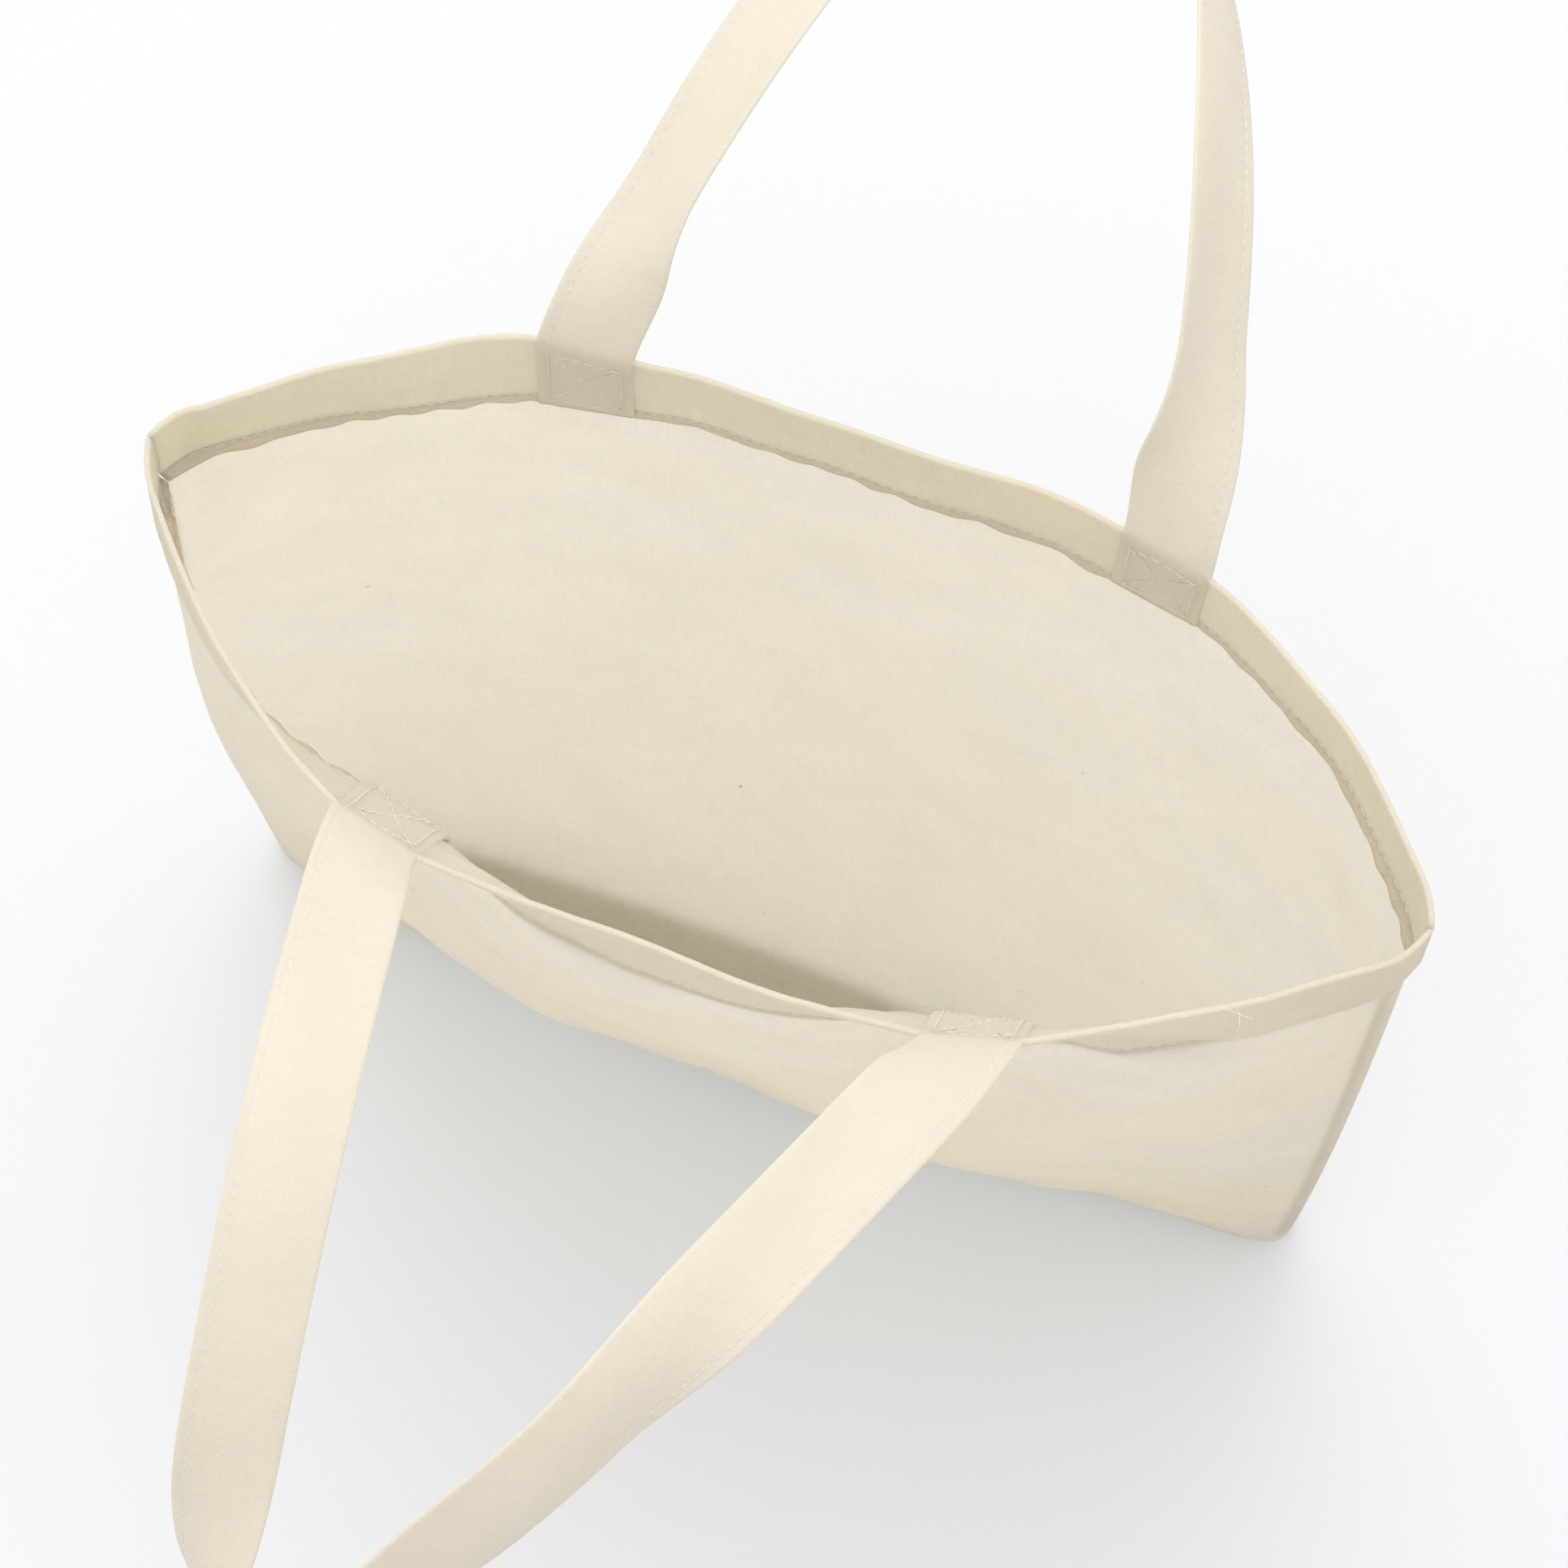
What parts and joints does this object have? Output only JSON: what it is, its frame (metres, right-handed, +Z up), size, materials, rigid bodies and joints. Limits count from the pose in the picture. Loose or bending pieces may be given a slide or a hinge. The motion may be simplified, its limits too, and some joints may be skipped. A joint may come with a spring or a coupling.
{
  "type": "canvas tote bag",
  "caption": "Open-topped cotton canvas tote bag, sewn flat from two panels, with a turned-in hem and long loop handles.",
  "frame": {"origin": "middle of the base, on the surface that the bag stands on", "axes": "+Z up, +X along the mouth towards the right side seam, front panel faces -Y"},
  "size_m": [0.366, 0.5756, 0.4696],
  "materials": {
    "canvas": "natural unbleached cotton canvas, plain weave, with dark and pale flecks",
    "strap_canvas": "natural cotton canvas, folded strap, plain weave",
    "thread": "natural cotton sewing thread",
    "overlock_thread": "looped overlock thread, pale tan"
  },
  "bodies": {
    "bag": {"front_panel": "canvas", "back_panel": "canvas", "front_hem_thread": "thread", "back_hem_thread": "thread", "left_seam_thread": "thread", "right_seam_thread": "thread", "bottom_seam_thread": "thread", "left_overlock": "overlock_thread", "right_overlock": "overlock_thread", "bottom_overlock": "overlock_thread", "front_left_handle_end": "strap_canvas", "front_right_handle_end": "strap_canvas", "back_left_handle_end": "strap_canvas", "back_right_handle_end": "strap_canvas", "front_left_box_stitch": "thread", "front_right_box_stitch": "thread", "back_left_box_stitch": "thread", "back_right_box_stitch": "thread"},
    "front_loop": {"front_handle": "strap_canvas", "front_handle_thread": "thread"},
    "back_loop": {"back_handle": "strap_canvas", "back_handle_thread": "thread"}
  },
  "joints": [
    {"name": "front_handle_swing", "type": "hinge", "parent": "bag", "child": "front_loop", "pos_m": [0, -0.06635, 0.41552], "axis": [-1, 0, 0], "range_deg": [-60, 98]},
    {"name": "back_handle_swing", "type": "hinge", "parent": "bag", "child": "back_loop", "pos_m": [0, 0.06635, 0.41552], "axis": [1, 0, 0], "range_deg": [-60, 98]}
  ]
}
